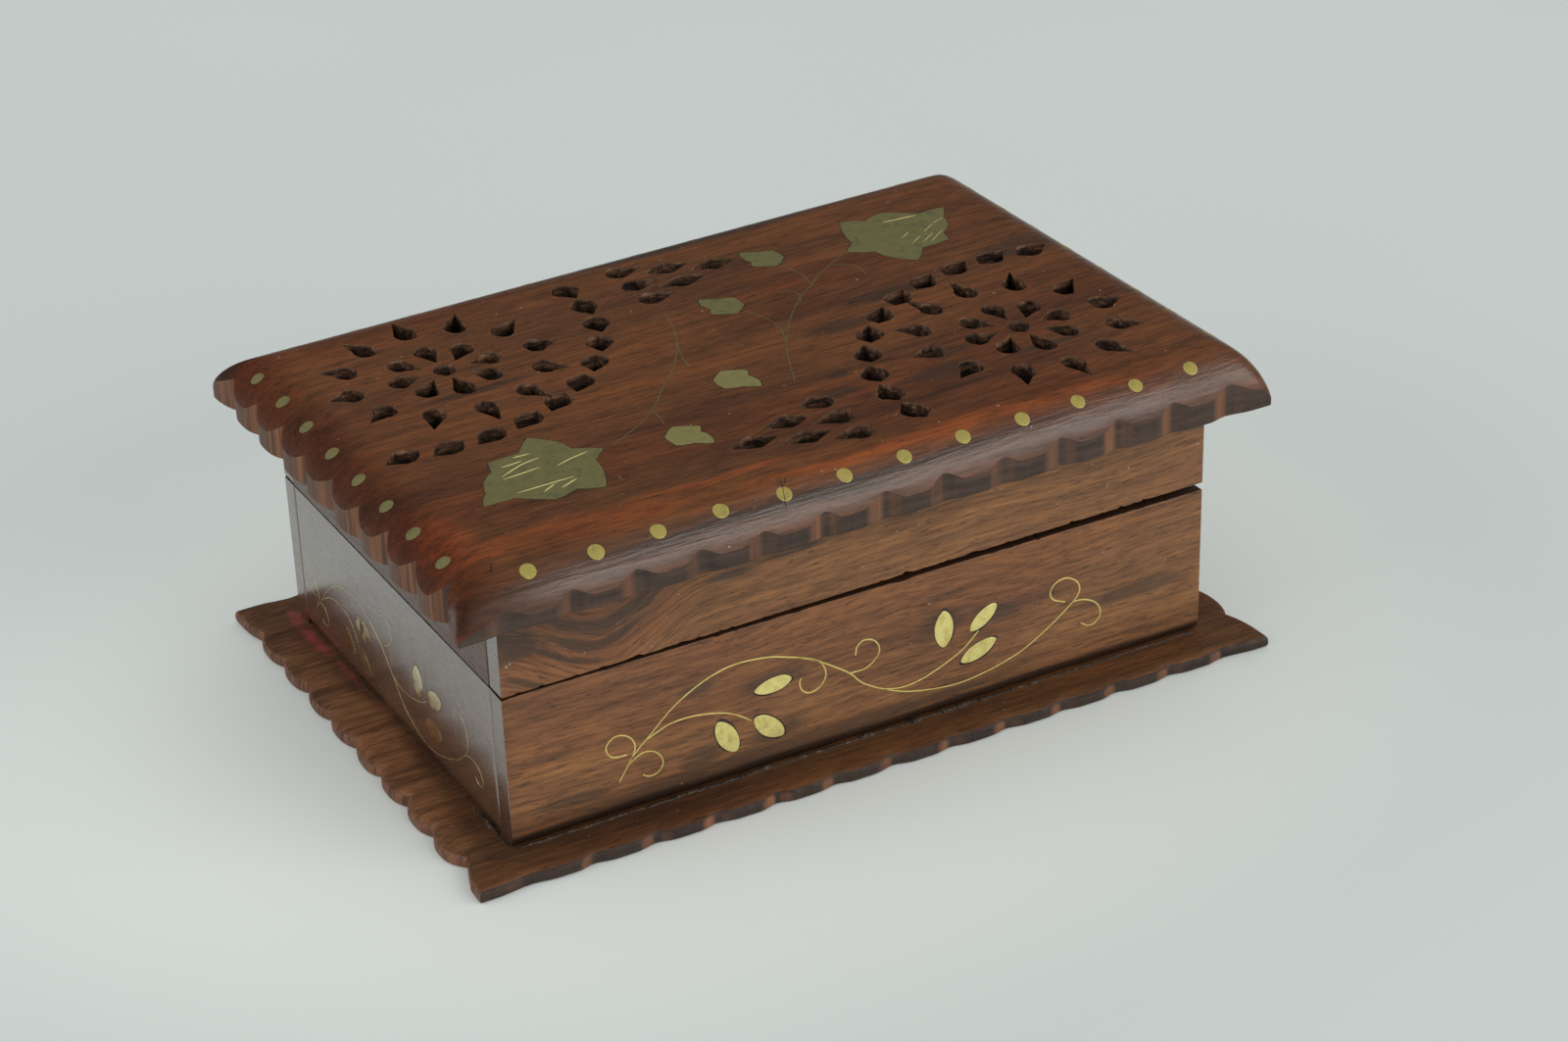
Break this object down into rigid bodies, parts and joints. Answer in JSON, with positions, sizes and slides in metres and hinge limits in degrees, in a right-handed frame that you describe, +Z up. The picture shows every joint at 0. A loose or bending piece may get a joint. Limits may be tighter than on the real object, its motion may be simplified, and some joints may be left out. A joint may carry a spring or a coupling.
{
  "type": "hinged keepsake box",
  "caption": "Rectangular rosewood keepsake box with a pierced, bullnosed lid on butt hinges, scalloped edges and brass leaf and vine inlay.",
  "frame": {"origin": "centre of the base board's underside", "axes": "+X to the right along the front, +Y to the back where the hinges are, +Z up"},
  "size_m": [0.2056, 0.1434, 0.078],
  "materials": {
    "lid_wood": "satin varnish, reddish brown with dark streaks",
    "body_wood": "satin varnish, golden brown with figure",
    "base_wood": "worn varnish, dull brown",
    "wall_brass": "polished flush inlay",
    "lid_brass": "tarnished flush inlay, engraved",
    "hinge_brass": "dull rolled sheet",
    "screw_brass": "dull, slotted heads",
    "felt": "short-napped red felt"
  },
  "bodies": {
    "base": {"base_board": "base_wood", "front_wall": "body_wood", "back_wall": "body_wood", "left_wall": "body_wood", "right_wall": "body_wood", "floor_lining": "felt", "front_lining": "felt", "back_lining": "felt", "left_lining": "felt", "right_lining": "felt", "front_leaf_1": "wall_brass", "front_leaf_2": "wall_brass", "front_leaf_3": "wall_brass", "front_leaf_4": "wall_brass", "front_leaf_5": "wall_brass", "front_leaf_6": "wall_brass", "left_leaf_1": "wall_brass", "left_leaf_2": "wall_brass", "left_leaf_3": "wall_brass", "left_leaf_4": "wall_brass", "left_leaf_5": "wall_brass", "left_leaf_6": "wall_brass", "right_leaf_1": "wall_brass", "right_leaf_2": "wall_brass", "right_leaf_3": "wall_brass", "right_leaf_4": "wall_brass", "right_leaf_5": "wall_brass", "right_leaf_6": "wall_brass", "front_vine": "wall_brass", "left_vine": "wall_brass", "right_vine": "wall_brass", "left_hinge_lower_leaf": "hinge_brass", "right_hinge_lower_leaf": "hinge_brass", "left_hinge_pin": "hinge_brass", "right_hinge_pin": "hinge_brass", "lower_screw_1": "screw_brass", "lower_screw_2": "screw_brass", "lower_screw_3": "screw_brass", "lower_screw_4": "screw_brass"},
    "lid": {"lid_front_rim": "body_wood", "lid_back_rim": "body_wood", "lid_left_rim": "body_wood", "lid_right_rim": "body_wood", "lid_board": "lid_wood", "lid_leaf_large_1": "lid_brass", "lid_leaf_large_2": "lid_brass", "lid_leaf_small_1": "lid_brass", "lid_leaf_small_2": "lid_brass", "lid_leaf_small_3": "lid_brass", "lid_leaf_small_4": "lid_brass", "lid_vine_1": "lid_brass", "lid_vine_2": "lid_brass", "left_hinge_upper_leaf": "hinge_brass", "right_hinge_upper_leaf": "hinge_brass", "upper_screw_1": "screw_brass", "upper_screw_2": "screw_brass", "upper_screw_3": "screw_brass", "upper_screw_4": "screw_brass"}
  },
  "joints": [
    {"name": "lid_hinge", "type": "hinge", "parent": "base", "child": "lid", "pos_m": [0, 0.0633, 0.0421], "axis": [-1, 0, 0], "range_deg": [0, 100]}
  ]
}
